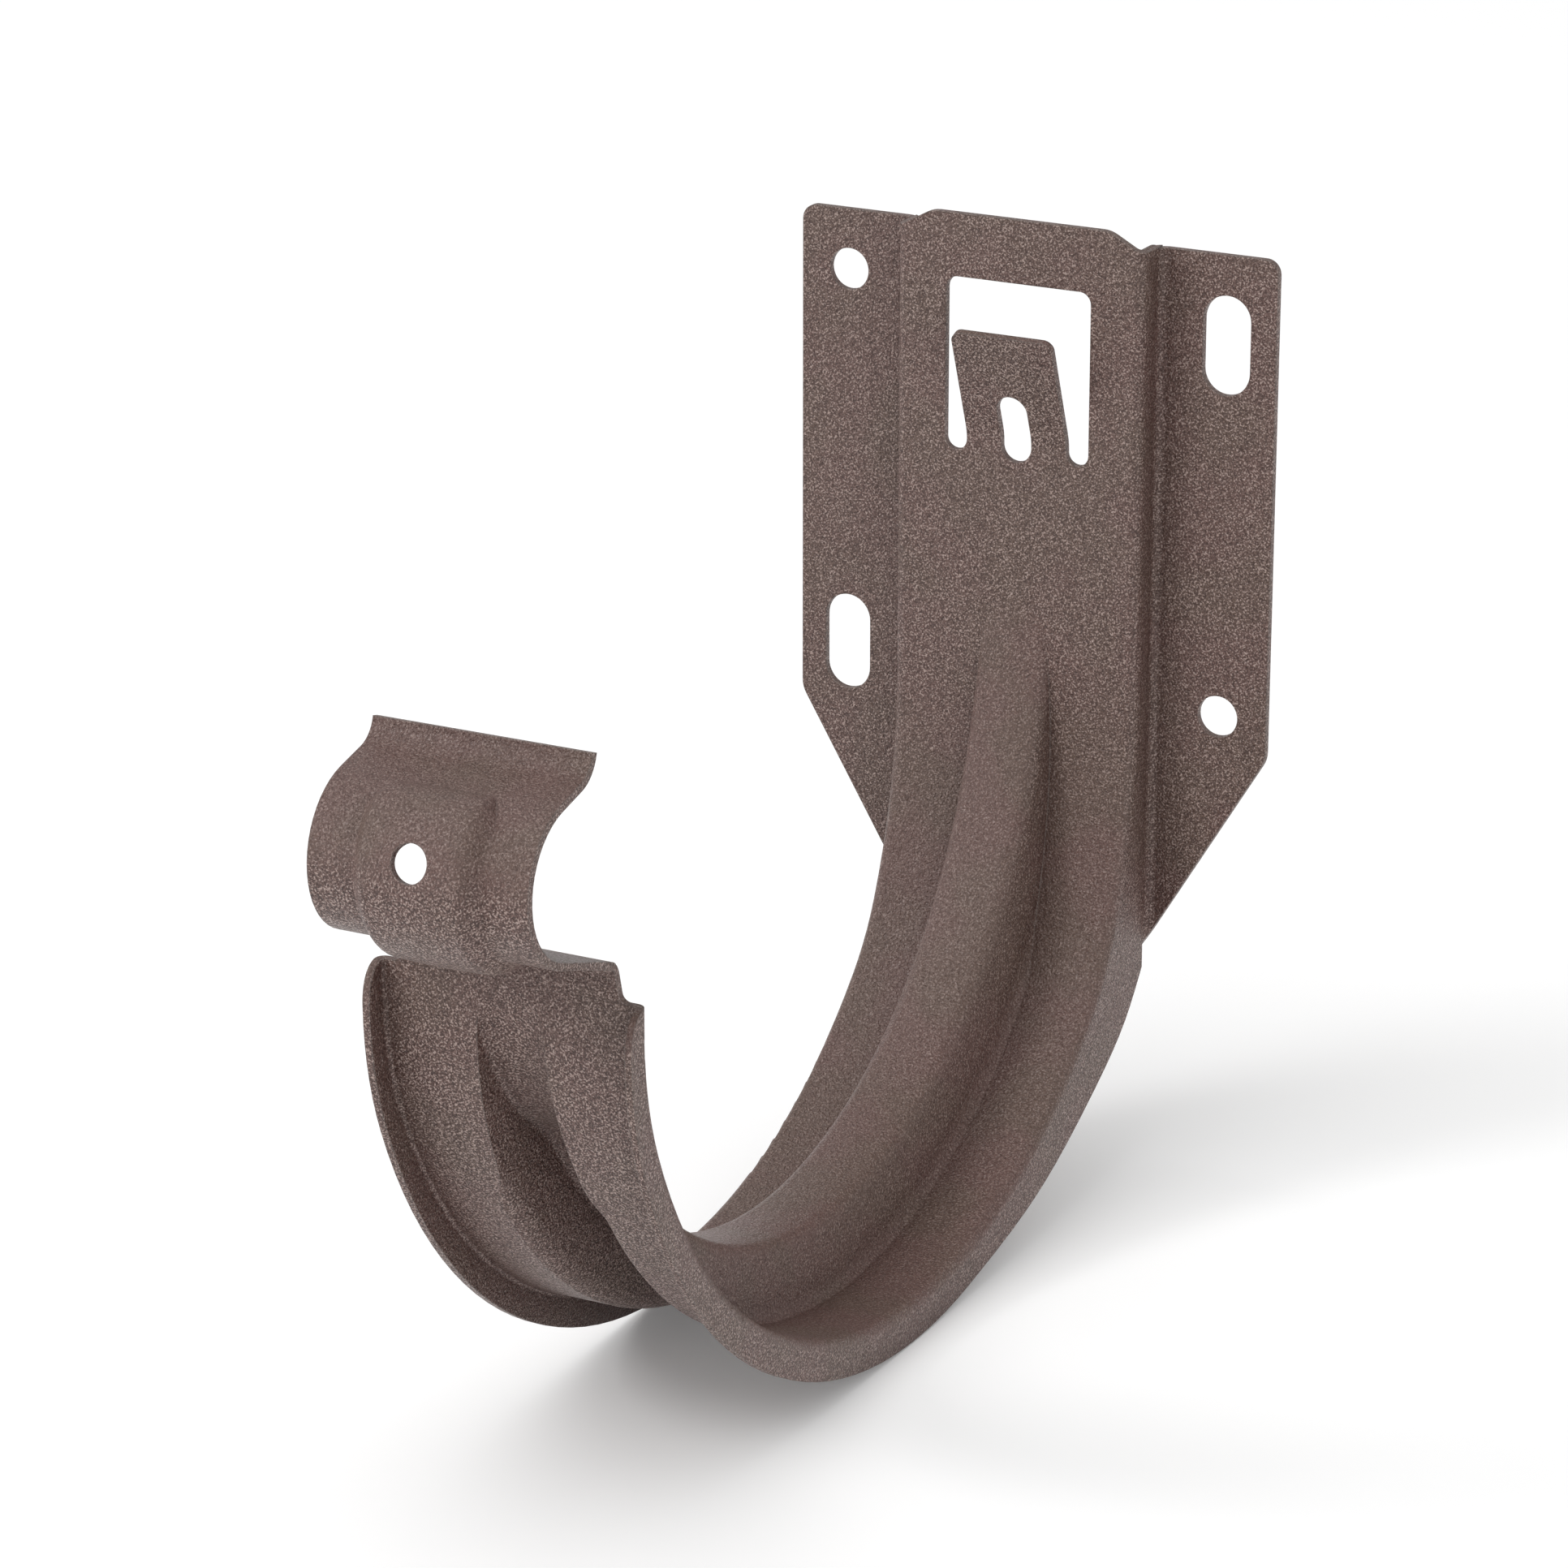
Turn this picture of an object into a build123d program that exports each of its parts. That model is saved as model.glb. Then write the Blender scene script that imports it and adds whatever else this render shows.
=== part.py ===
from build123d import *
from math import asin, atan2, cos, degrees, radians, sin, sqrt
import os

os.makedirs("parts", exist_ok=True)

# Gutter hook bracket pressed from one sheet.
# X runs along the gutter, the wall plane is Y = 0 with the hook reaching to -Y, and Z = 0 is the
# height of the gutter's axis.

# Sheet
sheet_thickness = 0.95
bend_radius = 0.5
outer_bend_radius = bend_radius + sheet_thickness

# Gutter seat: the crest of the pressed rib carries the gutter
seat_radius = 60.7
panel_front = -6.15
rib_stand = 1.7
rib_height = 9.5
rib_crest_half_width = 5.0
rib_foot_half_width = 6.8
rib_crown = 0.5
rib_crest_radius = 2.0
rib_foot_radius = 2.4
rib_skirt = 2.2
rib_fade_angle = -25.0
rib_ramp_angle = -146.0
rib_ramp_radius = 20.0
rib_ramp_slope = 55.0

# Back plate
wing_half_width = 34.0
wing_top = 50.0
wing_corner_radius = 2.0
chamfer_start = -16.9
chamfer_slope = 0.597
chamfer_corner_radius = 3.8
channel_half_width = 17.6
panel_top = 52.6
panel_top_half_width = 12.6
panel_shoulder_radius = 4.0
wing_bend_radius = 1.2

# Fixing holes of the wings
hole_edge_distance = 6.9
round_hole_diameter = 5.6
upper_round_hole_height = 41.9
lower_round_hole_height = -11.8
slot_width = 6.6
slot_length = 13.2
upper_slot_height = 38.1
lower_slot_height = -9.5

# Window and tongue of the panel
window_half_width = 10.3
window_top = 44.2
window_bottom = 21.0
window_corner_radius = 1.6
tongue_half_width = 7.15
tongue_root = 22.6
tongue_angle = 20.0
tongue_bend_radius = 6.0
tongue_reach = 14.6
tongue_corner_radius = 1.4
tongue_slot_width = 4.3
tongue_slot_length = 9.3
tongue_slot_height = 25.0

# Band of the hook
blend_radius = 70.0
blend_turn = 25.0
hook_blend_radius = 30.0
front_shift = 29.4
front_start = -158.0
flange_depth = 4.05
flange_edge_drop = 1.15
flange_blend_rise = 25.0
flange_top = -7.3
flange_top_drop = 5.0
neck_inset = 2.5
bead_inset = 2.05
bead_foot_height = 1.0
neck_top_height = -1.2
neck_foot_inset = 1.75
neck_shoulder_height = -3.0
neck_corner_radius = 1.2

# Front bead hook
ledge_angle = 18.5
ledge_corner_radius = 1.3
bead_radius = 9.5
bead_overhang = 8.3
bead_centre_z = 10.25
lip_heading = 14.0
lip_straight = 4.4
lip_radius = 4.1
lip_end_heading = 76.0
lip_end_straight = 0.15
bead_hole_diameter = 4.55
bead_hole_angle = 163.7
boss_height = 2.0
boss_crest_half_width = 6.3
boss_foot_half_width = 7.9
boss_crown = 0.15
boss_crest_radius = 1.5
boss_foot_radius = 1.0
boss_skirt = 1.2
boss_start = 135.0
boss_top_radius = 5.0
boss_top_turn = 76.0
boss_end_radius = 14.0
boss_end_turn = 36.0

# Derived sizes
half_sheet = sheet_thickness / 2
hole_offset = wing_half_width - hole_edge_distance
centre_y = panel_front - rib_stand - seat_radius
band_radius = seat_radius + rib_height
panel_middle = panel_front + half_sheet
flange_edge_radius = band_radius + flange_depth
bead_centre_y = centre_y - band_radius - bead_overhang

# Two blend arcs between the panel plane and the band circle, the lower one tighter
blend_step = (
    (blend_radius - hook_blend_radius) * cos(radians(blend_turn)),
    (blend_radius - hook_blend_radius) * sin(radians(blend_turn)),
)
blend_centre_y = panel_front - blend_radius
hook_blend_y = blend_centre_y + blend_step[0]
hook_blend_z = -sqrt((band_radius - hook_blend_radius) ** 2 - (hook_blend_y - centre_y) ** 2)
blend_centre_z = hook_blend_z + blend_step[1]
blend_end = degrees(atan2(hook_blend_z, hook_blend_y - centre_y))

# Tighter arc of the front wall, tangent to the band circle
front_radius = band_radius - front_shift
front_centre_y = centre_y + front_shift * cos(radians(front_start))
front_centre_z = front_shift * sin(radians(front_start))

# Ledge line tangent to the bead circle, and the corner bend between it and the front wall
ledge_dir = (cos(radians(ledge_angle)), -sin(radians(ledge_angle)))
ledge_tangent = 270.0 - ledge_angle
ledge_start = (
    bead_centre_y + bead_radius * cos(radians(ledge_tangent)),
    bead_centre_z + bead_radius * sin(radians(ledge_tangent)),
)
corner_line = (
    ledge_start[0] - ledge_corner_radius * sin(radians(ledge_angle)),
    ledge_start[1] - ledge_corner_radius * cos(radians(ledge_angle)),
)
wall_face_y = front_centre_y - front_radius
wall_middle_y = wall_face_y - half_sheet
corner_step = (wall_middle_y - ledge_corner_radius - corner_line[0]) / ledge_dir[0]
corner_centre = (
    corner_line[0] + corner_step * ledge_dir[0],
    corner_line[1] + corner_step * ledge_dir[1],
)
ledge_end = (
    corner_centre[0] + ledge_corner_radius * sin(radians(ledge_angle)),
    corner_centre[1] + ledge_corner_radius * cos(radians(ledge_angle)),
)

# Lip beyond the bead
bead_top = 90.0 + lip_heading
lip_start = (
    bead_centre_y + bead_radius * cos(radians(bead_top)),
    bead_centre_z + bead_radius * sin(radians(bead_top)),
)
lip_mid = (
    lip_start[0] + lip_straight * cos(radians(lip_heading)),
    lip_start[1] + lip_straight * sin(radians(lip_heading)),
)
lip_centre = (
    lip_mid[0] - lip_radius * sin(radians(lip_heading)),
    lip_mid[1] + lip_radius * cos(radians(lip_heading)),
)
lip_end = (
    lip_centre[0] + lip_radius * sin(radians(lip_end_heading)),
    lip_centre[1] - lip_radius * cos(radians(lip_end_heading)),
)
lip_tip = (
    lip_end[0] + lip_end_straight * cos(radians(lip_end_heading)),
    lip_end[1] + lip_end_straight * sin(radians(lip_end_heading)),
)

# Half widths of the flat front strip, its narrow neck and the bead hook, inside the flanges' bends
strip_half_width = channel_half_width - outer_bend_radius
neck_half_width = strip_half_width - neck_inset
neck_foot_half_width = strip_half_width - neck_foot_inset
bead_half_width = strip_half_width - bead_inset

# Front end of the channel, and the points of its free edge from the wall to the edge circle
edge_centre = (centre_y, -flange_edge_drop)
edge_front_centre = (front_centre_y, front_centre_z - flange_edge_drop)
edge_front_radius = front_radius + flange_depth
edge_front_height = flange_top - flange_top_drop - edge_front_centre[1]
edge_front_angle = -180.0 - degrees(asin(edge_front_height / edge_front_radius))
wing_inset = sheet_thickness + wing_bend_radius
edge_merge = -78.4
flange_blend_start = flange_blend_rise - band_radius
edge_wall_point = (-wing_inset, flange_blend_start - 1.3 * wing_inset)
edge_way = [(-62.1, 2.04), (-49.1, 4.58), (-40.5, 6.75)]


def polar(centre, radius, angle):
    return (
        centre[0] + radius * cos(radians(angle)),
        centre[1] + radius * sin(radians(angle)),
    )


def arc(centre, radius, start, end):
    return CenterArc(centre, radius, start, end - start)


def offset_piece(piece, side):
    """One piece of the sheet's middle line, moved half a thickness to its left (1) or right (-1)."""
    if piece[0] == "line":
        start, end = piece[1], piece[2]
        run = sqrt((end[0] - start[0]) ** 2 + (end[1] - start[1]) ** 2)
        shift_y = -side * half_sheet * (end[1] - start[1]) / run
        shift_z = side * half_sheet * (end[0] - start[0]) / run
        return Line((start[0] + shift_y, start[1] + shift_z), (end[0] + shift_y, end[1] + shift_z))
    turn = 1 if piece[4] > piece[3] else -1
    return arc(piece[1], piece[2] - side * turn * half_sheet, piece[3], piece[4])


# Middle line of the front strip in the YZ plane: lines (start, end), arcs (centre, radius, from, to)
front_path = [
    ("line", (wall_middle_y, flange_top), (wall_middle_y, corner_centre[1])),
    ("arc", corner_centre, ledge_corner_radius, 0.0, 90.0 - ledge_angle),
    ("line", ledge_end, ledge_start),
    ("arc", (bead_centre_y, bead_centre_z), bead_radius, ledge_tangent, bead_top),
    ("line", lip_start, lip_mid),
    ("arc", lip_centre, lip_radius, lip_heading - 90.0, lip_end_heading - 90.0),
    ("line", lip_end, lip_tip),
]


def pressed_profile(shape, floor, outward):
    """Cross-section of a pressed ridge, or of its hollow side one thickness outward."""
    height, crest_half, foot_half, crown, crest_round, foot_round, skirt_run = shape
    crest = height - crown - outward
    top = crest_half - 0.82 * outward
    foot = foot_half - 0.82 * outward
    skirt = foot_half + skirt_run
    with BuildLine() as outline:
        Polyline(
            (-top, crest),
            (-foot, 0.15 - outward),
            (-skirt, -0.4 - outward),
            (-skirt, floor),
            (skirt, floor),
            (skirt, -0.4 - outward),
            (foot, 0.15 - outward),
            (top, crest),
        )
        ThreePointArc((top, crest), (0, crest + crown), (-top, crest))
    make_face(outline.line.edges())
    for side in (-1, 1):
        fillet(vertices().sort_by_distance((side * top, crest, 0))[0], crest_round - outward)
        fillet(vertices().sort_by_distance((side * foot, 0.15 - outward, 0))[0], foot_round + outward)


def ray_plane(centre, radius, angle, inward):
    """Plane across the sheet at this angle round a centre, with its y axis along the radius."""
    across = -1 if inward else 1
    return Plane(
        origin=(0, *polar(centre, radius, angle)),
        x_dir=(1, 0, 0),
        z_dir=(0, -across * sin(radians(angle)), across * cos(radians(angle))),
    )


# Channel: panel, hook band and both flanges, bent round the outer and inner bend radii
with BuildPart() as channel:
    with BuildSketch(Plane.YZ):
        with BuildLine():
            Line((-wing_inset, panel_top + 1), (panel_front, panel_top + 1))
            Line((panel_front, panel_top + 1), (panel_front, blend_centre_z))
            arc((blend_centre_y, blend_centre_z), blend_radius, 0, -blend_turn)
            arc((hook_blend_y, hook_blend_z), hook_blend_radius, -blend_turn, blend_end)
            arc((centre_y, 0), band_radius, blend_end, front_start)
            arc((front_centre_y, front_centre_z), front_radius, front_start, -180)
            Line((wall_face_y, front_centre_z), (wall_face_y, flange_top))
            Spline(
                (wall_face_y, flange_top),
                polar(edge_front_centre, edge_front_radius, edge_front_angle),
                tangents=[
                    (-1, 0.05),
                    (-sin(radians(edge_front_angle)), cos(radians(edge_front_angle))),
                ],
            )
            arc(edge_front_centre, edge_front_radius, edge_front_angle, front_start)
            arc(edge_centre, flange_edge_radius, front_start, edge_merge)
            Spline(
                polar(edge_centre, flange_edge_radius, edge_merge),
                *[polar(edge_centre, flange_edge_radius + rise, angle) for angle, rise in edge_way],
                edge_wall_point,
                tangents=[(-sin(radians(edge_merge)), cos(radians(edge_merge))), (0.6, 0.8)],
            )
            Line(edge_wall_point, (-wing_inset, panel_top + 1))
        make_face()
    extrude(amount=channel_half_width, both=True)
    seat_edges = edges().filter_by(
        lambda e: abs(abs(e.center().X) - channel_half_width) < 0.01
        and (
            (e.geom_type == GeomType.LINE and abs(e.center().Y - panel_front) < 0.01)
            or (e.geom_type == GeomType.LINE and abs(e.center().Y - wall_face_y) < 0.01)
            or (e.geom_type == GeomType.CIRCLE and abs(e.radius - blend_radius) < 0.01)
            or (e.geom_type == GeomType.CIRCLE and abs(e.radius - hook_blend_radius) < 0.01)
            or (e.geom_type == GeomType.CIRCLE and abs(e.radius - band_radius) < 0.01)
            or (e.geom_type == GeomType.CIRCLE and abs(e.radius - front_radius) < 0.01)
        )
    )
    fillet(seat_edges, outer_bend_radius)

with BuildPart() as channel_inside:
    with BuildSketch(Plane.YZ):
        with BuildLine():
            Line((30, panel_top + 5), (panel_front + sheet_thickness, panel_top + 5))
            Line(
                (panel_front + sheet_thickness, panel_top + 5),
                (panel_front + sheet_thickness, blend_centre_z),
            )
            arc((blend_centre_y, blend_centre_z), blend_radius + sheet_thickness, 0, -blend_turn)
            hook_blend_outside = hook_blend_radius + sheet_thickness
            arc((hook_blend_y, hook_blend_z), hook_blend_outside, -blend_turn, blend_end)
            arc((centre_y, 0), band_radius + sheet_thickness, blend_end, front_start)
            front_outside = front_radius + sheet_thickness
            arc((front_centre_y, front_centre_z), front_outside, front_start, -180)
            Polyline(
                (wall_face_y - sheet_thickness, front_centre_z),
                (wall_face_y - sheet_thickness, 0),
                (centre_y - band_radius - 30, 0),
                (centre_y - band_radius - 30, -100),
                (30, -100),
                (30, panel_top + 5),
            )
        make_face()
    extrude(amount=channel_half_width - sheet_thickness, both=True)
    inner_edges = edges().filter_by(
        lambda e: abs(abs(e.center().X) - channel_half_width + sheet_thickness) < 0.01
        and (
            (
                e.geom_type == GeomType.LINE
                and abs(e.center().Y - panel_front - sheet_thickness) < 0.01
                and abs(e.center().Z - panel_top) > 10
            )
            or (
                e.geom_type == GeomType.LINE
                and abs(e.center().Y - wall_face_y + sheet_thickness) < 0.01
                and abs(e.center().X) > 1
            )
            or (e.geom_type == GeomType.CIRCLE and e.radius > hook_blend_radius)
        )
    )
    fillet(inner_edges, bend_radius)

# Wings bent out of the channel's side walls, with their chamfered lower ends
with BuildPart() as wings:
    with BuildSketch(Plane.XY.offset(edge_wall_point[1])):
        with BuildLine():
            Line((channel_half_width, -wing_inset), (channel_half_width - sheet_thickness, -wing_inset))
            CenterArc(
                (channel_half_width + wing_bend_radius, -wing_inset),
                wing_inset,
                180,
                -90,
            )
            Line((channel_half_width + wing_bend_radius, 0), (wing_half_width + 1, 0))
            Line((wing_half_width + 1, 0), (wing_half_width + 1, -sheet_thickness))
            Line(
                (wing_half_width + 1, -sheet_thickness),
                (channel_half_width + wing_bend_radius, -sheet_thickness),
            )
            CenterArc((channel_half_width + wing_bend_radius, -wing_inset), wing_bend_radius, 90, 90)
        make_face()
    extrude(amount=wing_top - edge_wall_point[1] + 5)
    with BuildSketch(Plane.XZ.offset(-1)):
        chamfer_reach = wing_half_width - channel_half_width + 3
        with BuildLine():
            Polyline(
                (wing_half_width - chamfer_reach, panel_top + 1),
                (wing_half_width - chamfer_reach, chamfer_start - chamfer_reach / chamfer_slope),
                (wing_half_width, chamfer_start),
                (wing_half_width, wing_top),
                (channel_half_width, wing_top),
                (channel_half_width, panel_top + 1),
                close=True,
            )
        make_face()
        fillet(vertices().sort_by_distance((wing_half_width, wing_top, 0))[0], wing_corner_radius)
        fillet(
            vertices().sort_by_distance((wing_half_width, chamfer_start, 0))[0],
            chamfer_corner_radius,
        )
    extrude(amount=wing_inset + 2, mode=Mode.INTERSECT)
    with BuildSketch(Plane.YZ):
        with BuildLine():
            Polyline(
                edge_wall_point,
                (0.0, flange_blend_start),
                (1.0, flange_blend_start),
                (1.0, edge_wall_point[1] - 1),
                (edge_wall_point[0], edge_wall_point[1] - 1),
                close=True,
            )
        make_face()
    extrude(amount=wing_half_width, mode=Mode.SUBTRACT)
    mirror(about=Plane.YZ)

# Front strip: front wall, ledge, bead hook and lip
with BuildPart() as front:
    with BuildSketch(Plane.YZ):
        with BuildLine():
            for piece in front_path:
                offset_piece(piece, 1)
                offset_piece(piece, -1)
            Line((wall_face_y, flange_top), (wall_face_y - sheet_thickness, flange_top))
            tip_dir = (cos(radians(lip_end_heading)), sin(radians(lip_end_heading)))
            Line(
                (lip_tip[0] - half_sheet * tip_dir[1], lip_tip[1] + half_sheet * tip_dir[0]),
                (lip_tip[0] + half_sheet * tip_dir[1], lip_tip[1] - half_sheet * tip_dir[0]),
            )
        make_face()
    extrude(amount=strip_half_width, both=True)

    with BuildSketch(Plane.XZ.offset(-centre_y)):
        with BuildLine():
            Polyline(
                (bead_half_width, lip_tip[1] + 5),
                (bead_half_width, bead_foot_height),
                (neck_half_width, neck_top_height),
                (neck_half_width, neck_shoulder_height),
                (neck_foot_half_width, flange_top),
                (strip_half_width + 1, flange_top),
                (strip_half_width + 1, lip_tip[1] + 5),
                close=True,
            )
        make_face()
        foot = vertices().sort_by_distance((neck_foot_half_width, flange_top, 0))[0]
        fillet(foot, neck_corner_radius)
        mirror(about=Plane.YZ)
    extrude(amount=200, mode=Mode.SUBTRACT)

# Tongue bent out of the window towards the gutter
with BuildPart() as tongue:
    with BuildSketch(Plane.YZ):
        with BuildLine():
            turn_centre = (panel_middle - tongue_bend_radius, tongue_root)
            bend_end = polar(turn_centre, tongue_bend_radius, tongue_angle)
            tongue_tip = (
                bend_end[0] - tongue_reach * sin(radians(tongue_angle)),
                bend_end[1] + tongue_reach * cos(radians(tongue_angle)),
            )
            tongue_path = [
                ("line", (panel_middle, tongue_root - 0.8), (panel_middle, tongue_root)),
                ("arc", turn_centre, tongue_bend_radius, 0, tongue_angle),
                ("line", bend_end, tongue_tip),
            ]
            for piece in tongue_path:
                offset_piece(piece, 1)
                offset_piece(piece, -1)
            Line((panel_front, tongue_root - 0.8), (panel_front + sheet_thickness, tongue_root - 0.8))
            slant = (half_sheet * cos(radians(tongue_angle)), half_sheet * sin(radians(tongue_angle)))
            Line(
                (tongue_tip[0] - slant[0], tongue_tip[1] - slant[1]),
                (tongue_tip[0] + slant[0], tongue_tip[1] + slant[1]),
            )
        make_face()
    extrude(amount=tongue_half_width, both=True)
    tip_corners = edges().filter_by(
        lambda e: abs(abs(e.center().X) - tongue_half_width) < 0.01
        and abs(e.center().Z - tongue_tip[1]) < 0.3
    )
    fillet(tip_corners, tongue_corner_radius)

# Crest line of the rib in the YZ plane: the seat circle, an easier arc that sinks into the panel
# above it, and below the ledge an arc away from the seat and one back into the front wall
fade_radius = seat_radius + (rib_stand + 0.3) / (1 - cos(radians(rib_fade_angle)))
fade_centre = polar((centre_y, 0), seat_radius - fade_radius, rib_fade_angle)
ramp_centre = polar((centre_y, 0), seat_radius + rib_ramp_radius, rib_ramp_angle)
ramp_turn = rib_ramp_slope - (rib_ramp_angle + 180.0)
ramp_middle = polar(ramp_centre, rib_ramp_radius, rib_ramp_slope)
toe_reach = ramp_middle[0] - (front_centre_y - front_radius - 0.2)
toe_radius = toe_reach / (1 - cos(radians(rib_ramp_slope)))
toe_centre = polar(ramp_middle, toe_radius, rib_ramp_slope)

rib_shape = (
    rib_height,
    rib_crest_half_width,
    rib_foot_half_width,
    rib_crown,
    rib_crest_radius,
    rib_foot_radius,
    rib_skirt,
)
rib_floor = -2 * sheet_thickness - 1
# Turned lengths of the rib: centre, crest radius, height of the crest towards it, start, turn
rib_runs = [
    (fade_centre, fade_radius, rib_height, rib_fade_angle, -rib_fade_angle),
    ((centre_y, 0), seat_radius, rib_height, rib_ramp_angle, rib_fade_angle - rib_ramp_angle),
    (ramp_centre, rib_ramp_radius, -rib_height, rib_ramp_angle + 180.0, ramp_turn),
    (toe_centre, toe_radius, rib_height, -180.0, rib_ramp_slope),
]

with BuildPart() as ridge:
    for centre, crest_radius, rise, start, turn in rib_runs:
        with BuildSketch(ray_plane(centre, crest_radius + rise, start, rise > 0)):
            pressed_profile(rib_shape, rib_floor, 0)
        revolve(axis=Axis((0, *centre), (1, 0, 0)), revolution_arc=turn)

with BuildPart() as groove:
    for centre, crest_radius, rise, start, turn in rib_runs:
        with BuildSketch(ray_plane(centre, crest_radius + rise, start, rise > 0)):
            pressed_profile(rib_shape, rib_floor, sheet_thickness)
        revolve(axis=Axis((0, *centre), (1, 0, 0)), revolution_arc=turn)

# Boss pressed out of the bead hook round its hole and on along the ledge, with the hollow behind
boss_shape = (
    boss_height,
    boss_crest_half_width,
    boss_foot_half_width,
    boss_crown,
    boss_crest_radius,
    boss_foot_radius,
    boss_skirt,
)
boss_crest = bead_radius + half_sheet + boss_height
bead_centre = (bead_centre_y, bead_centre_z)
boss_top_centre = polar(bead_centre, boss_crest - boss_top_radius, boss_start)
boss_end_centre = polar(bead_centre, boss_crest - boss_end_radius, ledge_tangent)

# Turned lengths of the boss: centre, crest radius, start, turn
boss_runs = [
    (boss_top_centre, boss_top_radius, boss_start - boss_top_turn, boss_top_turn),
    (bead_centre, boss_crest, boss_start, ledge_tangent - boss_start),
    (boss_end_centre, boss_end_radius, ledge_tangent, boss_end_turn),
]

with BuildPart() as boss:
    for centre, crest_radius, start, turn in boss_runs:
        with BuildSketch(ray_plane(centre, crest_radius - boss_height, start, False)):
            pressed_profile(boss_shape, -0.6 * sheet_thickness, 0)
        revolve(axis=Axis((0, *centre), (1, 0, 0)), revolution_arc=turn)

with BuildPart() as hollow:
    for centre, crest_radius, start, turn in boss_runs:
        with BuildSketch(ray_plane(centre, crest_radius - boss_height, start, False)):
            pressed_profile(boss_shape, -2.3 * sheet_thickness, sheet_thickness)
        revolve(axis=Axis((0, *centre), (1, 0, 0)), revolution_arc=turn)

# Space inside the bead hook and above its ledge, which the gutter's bead takes
with BuildPart() as clip_inside:
    with BuildSketch(Plane.YZ):
        with Locations(bead_centre):
            Circle(bead_radius - half_sheet)
        with BuildLine():
            inner_start = polar(bead_centre, bead_radius - half_sheet, ledge_tangent)
            ledge_run = (10 * ledge_dir[0], 10 * ledge_dir[1])
            Polyline(
                inner_start,
                (inner_start[0] + ledge_run[0], inner_start[1] + ledge_run[1]),
                (bead_centre[0] + ledge_run[0], bead_centre[1] + ledge_run[1]),
                bead_centre,
                close=True,
            )
        make_face()
    extrude(amount=boss_foot_half_width + boss_skirt + 1, both=True)

with BuildPart() as bead_hook:
    add(front.part)
    add(boss.part)
    add(clip_inside.part, mode=Mode.SUBTRACT)
    add(hollow.part, mode=Mode.SUBTRACT)

with BuildPart() as gutter_bracket:
    add(channel.part)
    add(ridge.part)
    add(channel_inside.part, mode=Mode.SUBTRACT)
    add(groove.part, mode=Mode.SUBTRACT)
    add(wings.part)
    add(bead_hook.part)
    # Top edge: the panel stands a little above the wings, with eased shoulders
    with BuildSketch(Plane.XZ.offset(-1)):
        with BuildLine():
            Polyline(
                (-channel_half_width - 3, wing_top),
                (-channel_half_width + 0.6, wing_top + 0.2),
                (-panel_top_half_width, panel_top),
                (panel_top_half_width, panel_top),
                (channel_half_width - 0.6, wing_top + 0.2),
                (channel_half_width + 3, wing_top),
                (channel_half_width + 3, panel_top + 3),
                (-channel_half_width - 3, panel_top + 3),
                close=True,
            )
        make_face()
        for side in (-1, 1):
            fillet(
                vertices().sort_by_distance((side * panel_top_half_width, panel_top, 0))[0],
                panel_shoulder_radius,
            )
    extrude(amount=20, mode=Mode.SUBTRACT)
    # Window round the tongue, with round-bottomed slits beside it
    with BuildSketch(Plane.XZ.offset(-panel_front - 2 * sheet_thickness)):
        with BuildLine():
            Polyline(
                (-window_half_width, tongue_root),
                (window_half_width, tongue_root),
                (window_half_width, window_top),
                (-window_half_width, window_top),
                close=True,
            )
        make_face()
        slit_width = window_half_width - tongue_half_width
        slit_length = tongue_root - window_bottom + slit_width
        for side in (-1, 1):
            fillet(
                vertices().sort_by_distance((side * window_half_width, window_top, 0))[0],
                window_corner_radius,
            )
        with Locations(
            (-window_half_width + slit_width / 2, window_bottom + slit_length / 2 + 1),
            (window_half_width - slit_width / 2, window_bottom + slit_length / 2 + 1),
        ):
            SlotOverall(slit_length + 2, slit_width, rotation=90)
    extrude(amount=3 * sheet_thickness, mode=Mode.SUBTRACT)
    add(tongue.part)
    with BuildSketch(Plane.XZ.offset(-panel_front - 3)):
        with Locations((0, tongue_slot_height)):
            SlotOverall(tongue_slot_length, tongue_slot_width, rotation=90)
    extrude(amount=12, mode=Mode.SUBTRACT)
    # Holes of the wings: round and slotted, set crosswise
    with BuildSketch(Plane.XZ.offset(-1)):
        with Locations((-hole_offset, upper_round_hole_height), (hole_offset, lower_round_hole_height)):
            Circle(round_hole_diameter / 2)
        with Locations((-hole_offset, lower_slot_height), (hole_offset, upper_slot_height)):
            SlotOverall(slot_length, slot_width, rotation=90)
    extrude(amount=sheet_thickness + 2, mode=Mode.SUBTRACT)
    # Round hole through the boss
    hole_point = polar((bead_centre_y, bead_centre_z), bead_radius, bead_hole_angle)
    hole_dir = (0, cos(radians(bead_hole_angle)), sin(radians(bead_hole_angle)))
    with BuildSketch(Plane(origin=(0, *hole_point), x_dir=(1, 0, 0), z_dir=hole_dir).offset(-3)):
        Circle(bead_hole_diameter / 2)
    extrude(amount=8, mode=Mode.SUBTRACT)

gutter_bracket.part.label = "gutter_bracket"
export_step(gutter_bracket.part, "parts/gutter_bracket.step")
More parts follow.
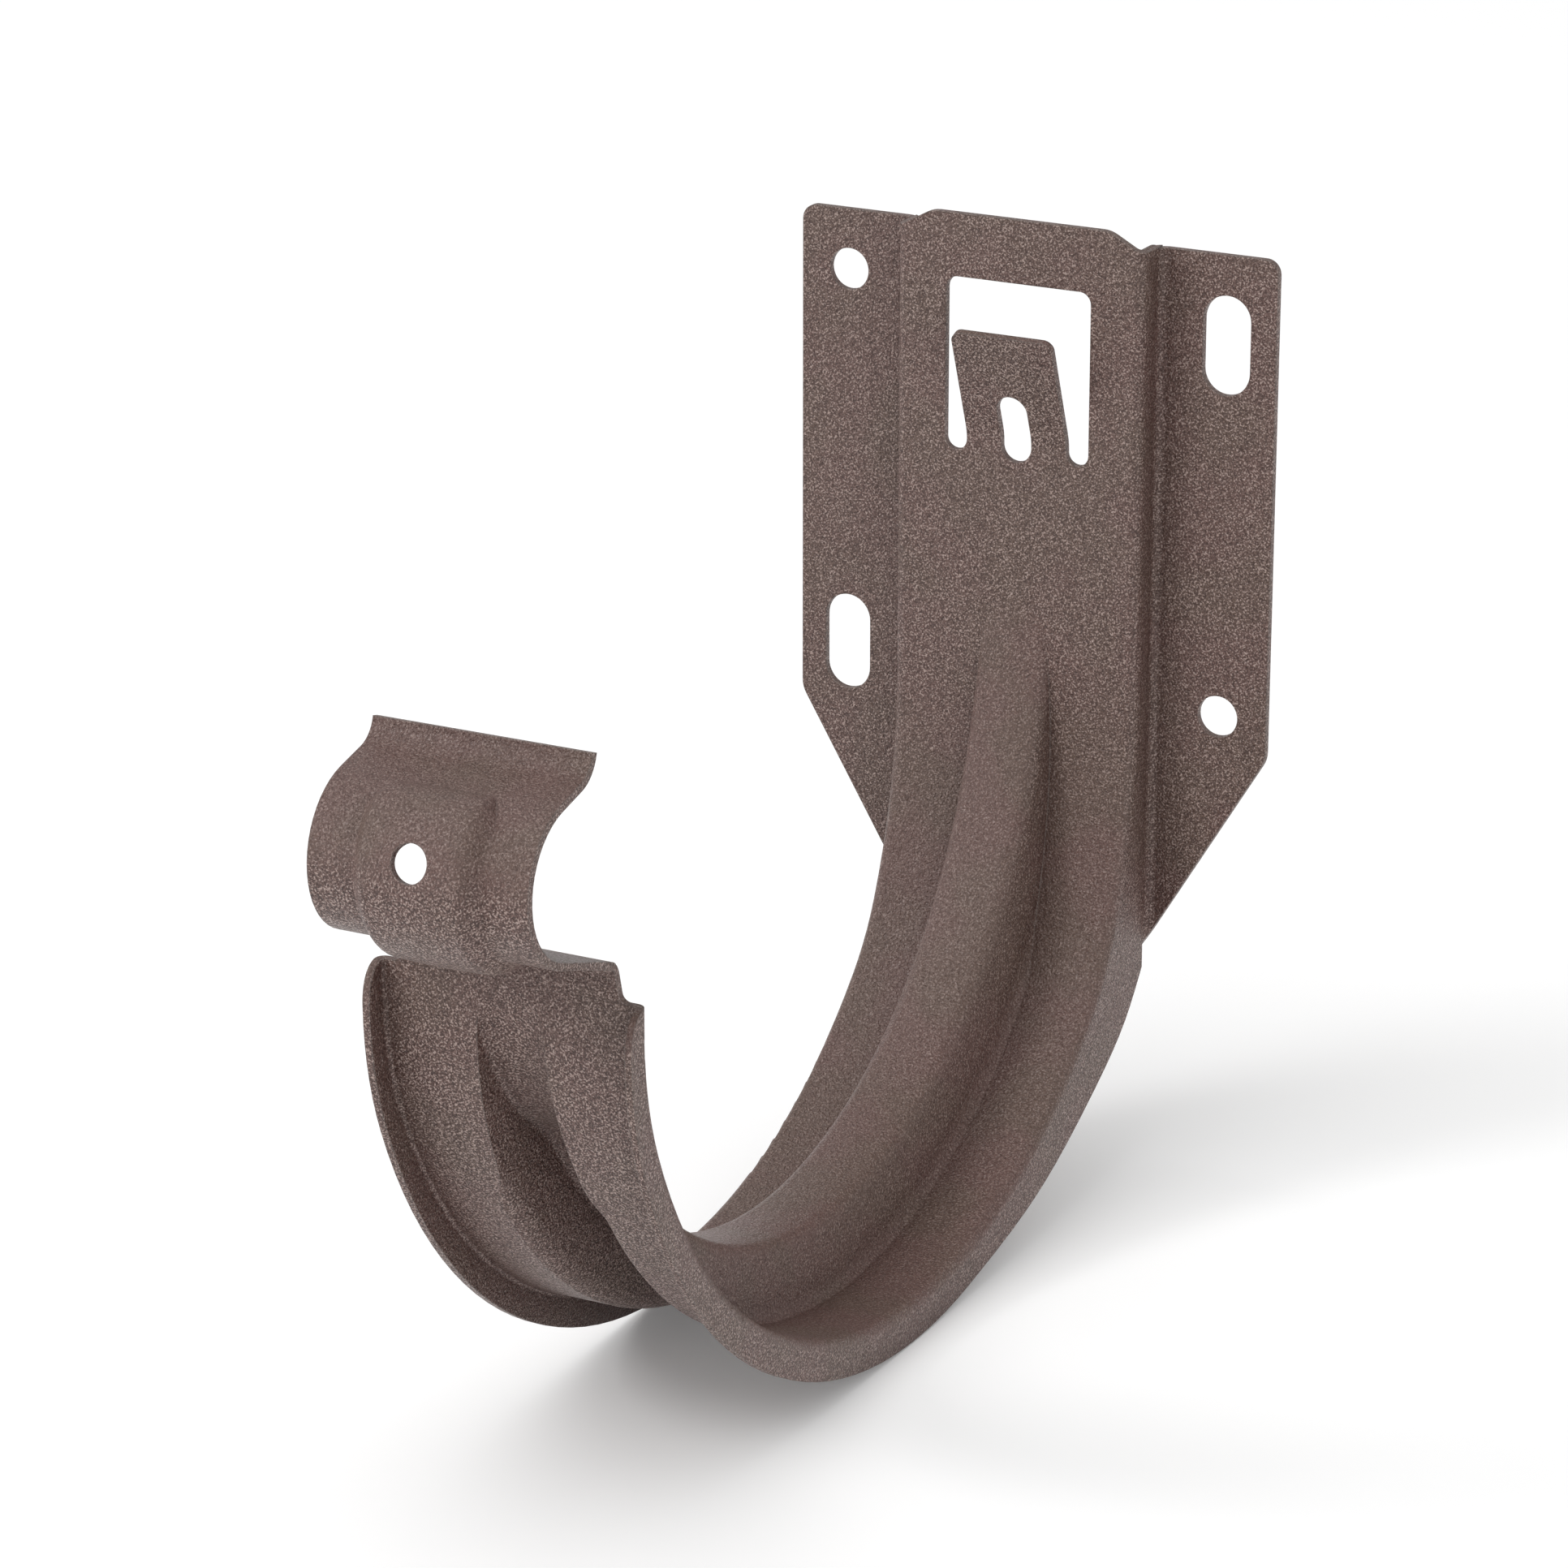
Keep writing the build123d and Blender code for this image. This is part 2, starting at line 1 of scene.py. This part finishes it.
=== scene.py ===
import bpy
import math
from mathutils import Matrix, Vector


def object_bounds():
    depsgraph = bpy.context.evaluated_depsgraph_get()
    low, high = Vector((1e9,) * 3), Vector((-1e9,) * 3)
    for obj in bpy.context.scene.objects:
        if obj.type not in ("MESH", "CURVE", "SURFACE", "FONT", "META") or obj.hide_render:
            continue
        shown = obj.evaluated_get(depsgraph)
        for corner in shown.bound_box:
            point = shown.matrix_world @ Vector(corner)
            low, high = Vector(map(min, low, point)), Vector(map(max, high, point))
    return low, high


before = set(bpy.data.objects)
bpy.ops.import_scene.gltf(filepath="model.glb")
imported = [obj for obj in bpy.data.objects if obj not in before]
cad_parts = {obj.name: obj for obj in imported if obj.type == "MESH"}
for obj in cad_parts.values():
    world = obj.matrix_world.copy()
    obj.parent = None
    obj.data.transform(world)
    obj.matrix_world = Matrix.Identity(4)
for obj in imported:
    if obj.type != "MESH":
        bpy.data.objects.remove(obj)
cad_low, cad_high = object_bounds()

# Coat: chocolate brown textured powder coat, colours in linear light, lengths in metres
COAT_BROWN = (0.129, 0.072, 0.061, 1.0)
COAT_OLIVE = (0.119, 0.074, 0.058, 1.0)
COAT_PIT = (0.050, 0.024, 0.019, 1.0)
# Light flecks: painted glints of the grain
COAT_PAINTED_GLINT = (0.360, 0.270, 0.240, 1.0)
# Painted shade of the recesses
COAT_PAINTED_SHADE = (0.045, 0.014, 0.009, 1.0)
# Painted highlight along cut and sharply bent edges
COAT_PAINTED_EDGE_HIGHLIGHT = (0.330, 0.290, 0.265, 1.0)
COAT_IOR = 1.5
COAT_SPECULAR = 0.5
COAT_ROUGHNESS = 0.40
PIT_ROUGHER = 0.10
FLECK_SMOOTHER = 0.08
GRAIN_SIZE = 0.00024
WRINKLE_SIZE = 0.00040
TONE_SIZE = 0.012
GRAIN_HEIGHT = 0.00006
WRINKLE_HEIGHT = 0.00030
EDGE_RADIUS = 0.00035
EDGE_SAMPLES = 6
RECESS_REACH = 0.009
RECESS_SAMPLES = 8

# The noise is turned, so that no flat face lies in a plane of its lattice
GRAIN_TURN = (0.6, 0.5, 0.4)

# Strength of the grain on faces that look down and on faces that look up, where it is calmed as
# painted sheen of the top light
LIVELY_GRAIN = 1.50
GRAIN_UNDER_PAINTED_SHEEN = 0.40

# Grey values between which each step goes from none to full
TONE_STEP = (0.40, 0.64)
PIT_STEP = (0.50, 0.36)
FURROW_STEP = (0.46, 0.30)
PAINTED_GLINT_STEP = (0.54, 0.645)
PAINTED_SHADE_STEP = (0.88, 0.30)
EDGE_HIGHLIGHT_STEP = (0.94, 0.74)
FACING_STEP = (-0.45, 0.38)
ROUGHNESS_STEP = (0.3, 0.7)

# How much of the colour below each layer hides
PIT_COVER = 0.95
FURROW_COVER = 0.85
PAINTED_GLINT_COVER = 1.05
PAINTED_SHADE_COVER = 0.88
EDGE_HIGHLIGHT_COVER = 0.45

# Colour sockets of the Mix node, which holds one set of sockets for each kind of data
MIX_FACTOR = 0
MIX_BELOW = 6
MIX_ABOVE = 7
MIX_RESULT = 2

# Camera, in the row frame
CAMERA_AT = (0.31774, -0.67381, 0.23211)
CAMERA_AIM = (-0.4405, 0.8359, -0.3274)
FOCAL_LENGTH = 135.5
SENSOR_WIDTH = 36.0
CLIP_START = 0.01

# Floor, world and lights
WHITE = (1.0, 1.0, 1.0, 1.0)
FLOOR_COLOUR = (0.94, 0.94, 0.94, 1.0)
FLOOR_ROUGHNESS = 0.9
FLOOR_SIZE = 24.0
FLOOR_GAP = 0.0002
FLOOR_GLOW = 0.12
WORLD_STRENGTH = 0.66
TOP_LIGHT_AIM = (0.7, 0.9, -2.6)
TOP_LIGHT_POWER = 0.80
TOP_LIGHT_SPREAD = 50.0
BRACKET_MIDDLE = (0.0, -0.07, 0.0)
KEY_LIGHT_AT = (-0.80, -0.75, 0.60)
KEY_LIGHT_SIZE = 0.35
KEY_LIGHT_POWER = 4.0
SIDE_FILL_AT = (1.0, -0.55, -0.01)
SIDE_FILL_SIZE = 0.45
SIDE_FILL_POWER = 2.0


def node(tree, kind, **inputs):
    """Adds a shader node and sets its input sockets by name."""
    made = tree.nodes.new(kind)
    for name, value in inputs.items():
        made.inputs[name.replace("_", " ")].default_value = value
    return made


def join(tree, source, out, target, into):
    """Links an output of one node to an input of another."""
    tree.links.new(source.outputs[out], target.inputs[into])


def ramp(tree, source, out, step):
    """A soft step from 0 to 1, between two levels of a grey value."""
    made = node(tree, "ShaderNodeMapRange", From_Min=step[0], From_Max=step[1])
    made.interpolation_type = "SMOOTHSTEP"
    join(tree, source, out, made, "Value")
    return made


def scaled(tree, source, factor):
    """A ramp's value times a constant factor."""
    made = tree.nodes.new("ShaderNodeMath")
    made.operation = "MULTIPLY"
    made.inputs[1].default_value = factor
    join(tree, source, "Result", made, 0)
    return made


def product(tree, first, second, factor):
    """The values of two ramps and a constant factor, multiplied."""
    made = tree.nodes.new("ShaderNodeMath")
    made.operation = "MULTIPLY"
    join(tree, scaled(tree, first, factor), "Value", made, 0)
    join(tree, second, "Result", made, 1)
    return made


def colour_mix(tree, above):
    """A mix of two colours, of which the upper one is given."""
    made = tree.nodes.new("ShaderNodeMix")
    made.data_type = "RGBA"
    made.inputs[MIX_ABOVE].default_value = above
    return made


def layer(tree, below, colour, cover):
    """Lays a colour over the colour below, where the cover is high."""
    made = colour_mix(tree, colour)
    join(tree, cover, "Value", made, MIX_FACTOR)
    join(tree, below, MIX_RESULT, made, MIX_BELOW)
    return made


def powder_coat():
    """Satin brown powder coat: fine grain and wrinkles, with painted glints, painted shade in
    recesses and painted highlights on cut and bent edges.
    """
    material = bpy.data.materials.new("brown_powder_coat")
    material.use_nodes = True
    tree = material.node_tree
    tree.nodes.clear()
    output = tree.nodes.new("ShaderNodeOutputMaterial")
    shader = node(tree, "ShaderNodeBsdfPrincipled", Roughness=COAT_ROUGHNESS,
                  IOR=COAT_IOR, Specular_IOR_Level=COAT_SPECULAR)
    join(tree, shader, "BSDF", output, "Surface")

    place = tree.nodes.new("ShaderNodeTexCoord")
    turned = node(tree, "ShaderNodeMapping", Rotation=GRAIN_TURN)
    join(tree, place, "Object", turned, "Vector")
    grain = node(tree, "ShaderNodeTexNoise", Scale=1.0 / GRAIN_SIZE, Detail=1.5, Roughness=0.55)
    wrinkle = node(tree, "ShaderNodeTexNoise", Scale=1.0 / WRINKLE_SIZE, Detail=1.0, Distortion=0.9)
    tone = node(tree, "ShaderNodeTexNoise", Scale=1.0 / TONE_SIZE, Detail=2.0)
    for texture in (grain, wrinkle, tone):
        join(tree, turned, "Vector", texture, "Vector")

    # Slow change between a redder and an olive brown
    base = colour_mix(tree, COAT_OLIVE)
    base.inputs[MIX_BELOW].default_value = COAT_BROWN
    join(tree, ramp(tree, tone, "Fac", TONE_STEP), "Result", base, MIX_FACTOR)

    # Painted sheen: the grain is lively on faces that look down and calm on those that look up, as
    # the top light's sheen would smooth it
    facing = tree.nodes.new("ShaderNodeNewGeometry")
    upward = tree.nodes.new("ShaderNodeSeparateXYZ")
    join(tree, facing, "Normal", upward, "Vector")
    grain_by_painted_sheen = ramp(tree, upward, "Z", FACING_STEP)
    grain_by_painted_sheen.inputs["To Min"].default_value = LIVELY_GRAIN
    grain_by_painted_sheen.inputs["To Max"].default_value = GRAIN_UNDER_PAINTED_SHEEN

    # Dark pits and furrows of the wrinkles, and light flecks of the grain painted in as glints
    below = base
    for texture, step, colour, cover in (
        (grain, PIT_STEP, COAT_PIT, PIT_COVER),
        (wrinkle, FURROW_STEP, COAT_PIT, FURROW_COVER),
        (grain, PAINTED_GLINT_STEP, COAT_PAINTED_GLINT, PAINTED_GLINT_COVER),
    ):
        mask = product(tree, ramp(tree, texture, "Fac", step), grain_by_painted_sheen, cover)
        below = layer(tree, below, colour, mask)

    # Painted shade: recesses go darker and warmer, by ambient occlusion
    shelter = node(tree, "ShaderNodeAmbientOcclusion", Distance=RECESS_REACH)
    shelter.samples = RECESS_SAMPLES
    painted_shade_mask = scaled(tree, ramp(tree, shelter, "AO", PAINTED_SHADE_STEP), PAINTED_SHADE_COVER)
    shade_painted_colour = layer(tree, below, COAT_PAINTED_SHADE, painted_shade_mask)

    # Painted highlight: a thin pale line where the sheet is cut or sharply bent
    edge = node(tree, "ShaderNodeBevel", Radius=EDGE_RADIUS)
    edge.samples = EDGE_SAMPLES
    same = tree.nodes.new("ShaderNodeVectorMath")
    same.operation = "DOT_PRODUCT"
    join(tree, edge, "Normal", same, 0)
    join(tree, facing, "Normal", same, 1)
    edge_highlight_mask = scaled(tree, ramp(tree, same, "Value", EDGE_HIGHLIGHT_STEP), EDGE_HIGHLIGHT_COVER)
    highlight_painted_colour = layer(tree, shade_painted_colour, COAT_PAINTED_EDGE_HIGHLIGHT, edge_highlight_mask)
    join(tree, highlight_painted_colour, MIX_RESULT, shader, "Base Color")

    # The pits are duller than the flecks
    rough = ramp(tree, grain, "Fac", ROUGHNESS_STEP)
    rough.inputs["To Min"].default_value = COAT_ROUGHNESS + PIT_ROUGHER
    rough.inputs["To Max"].default_value = COAT_ROUGHNESS - FLECK_SMOOTHER
    join(tree, rough, "Result", shader, "Roughness")

    # Relief of the wrinkles and the grain, over softened edges
    relief = edge
    for texture, height in ((wrinkle, WRINKLE_HEIGHT), (grain, GRAIN_HEIGHT)):
        bump = node(tree, "ShaderNodeBump", Strength=1.0, Distance=height)
        join(tree, texture, "Fac", bump, "Height")
        join(tree, relief, "Normal", bump, "Normal")
        relief = bump
    join(tree, relief, "Normal", shader, "Normal")
    return material


def floor_material():
    """Matt white that glows faintly, so that it runs into the white world."""
    material = bpy.data.materials.new("pale_floor")
    material.use_nodes = True
    shader = material.node_tree.nodes["Principled BSDF"]
    shader.inputs["Base Color"].default_value = FLOOR_COLOUR
    shader.inputs["Roughness"].default_value = FLOOR_ROUGHNESS
    shader.inputs["Emission Color"].default_value = WHITE
    shader.inputs["Emission Strength"].default_value = FLOOR_GLOW
    return material


def aimed(name, data, at, aim):
    """Puts a lamp or camera into the scene, looking along its aim."""
    made = bpy.data.objects.new(name, data)
    made.location = at
    made.rotation_euler = Vector(aim).to_track_quat("-Z", "Y").to_euler()
    bpy.context.scene.collection.objects.link(made)
    return made


def soft_light(name, at, size, power):
    """A square soft box that faces the bracket."""
    data = bpy.data.lights.new(name, "AREA")
    data.shape = "SQUARE"
    data.size = size
    data.energy = power
    aimed(name, data, at, Vector(BRACKET_MIDDLE) - Vector(at))


coat = powder_coat()
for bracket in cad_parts.values():
    bracket.data.materials.clear()
    bracket.data.materials.append(coat)

bpy.ops.mesh.primitive_plane_add(size=FLOOR_SIZE, location=(0.0, 0.0, cad_low[2] - FLOOR_GAP))
floor = bpy.context.object
floor.name = "floor"
floor.data.materials.append(floor_material())

world = bpy.data.worlds.new("studio")
world.use_nodes = True
background = world.node_tree.nodes["Background"]
background.inputs["Color"].default_value = WHITE
background.inputs["Strength"].default_value = WORLD_STRENGTH
bpy.context.scene.world = world
bpy.context.scene.view_settings.view_transform = "Standard"

sun = bpy.data.lights.new("top_light", "SUN")
sun.angle = math.radians(TOP_LIGHT_SPREAD)
sun.energy = TOP_LIGHT_POWER
aimed("top_light", sun, BRACKET_MIDDLE, TOP_LIGHT_AIM)
soft_light("key_light", KEY_LIGHT_AT, KEY_LIGHT_SIZE, KEY_LIGHT_POWER)
soft_light("side_fill", SIDE_FILL_AT, SIDE_FILL_SIZE, SIDE_FILL_POWER)

view = bpy.data.cameras.new("camera")
view.lens = FOCAL_LENGTH
view.sensor_width = SENSOR_WIDTH
view.clip_start = CLIP_START
bpy.context.scene.camera = aimed("camera", view, CAMERA_AT, CAMERA_AIM)
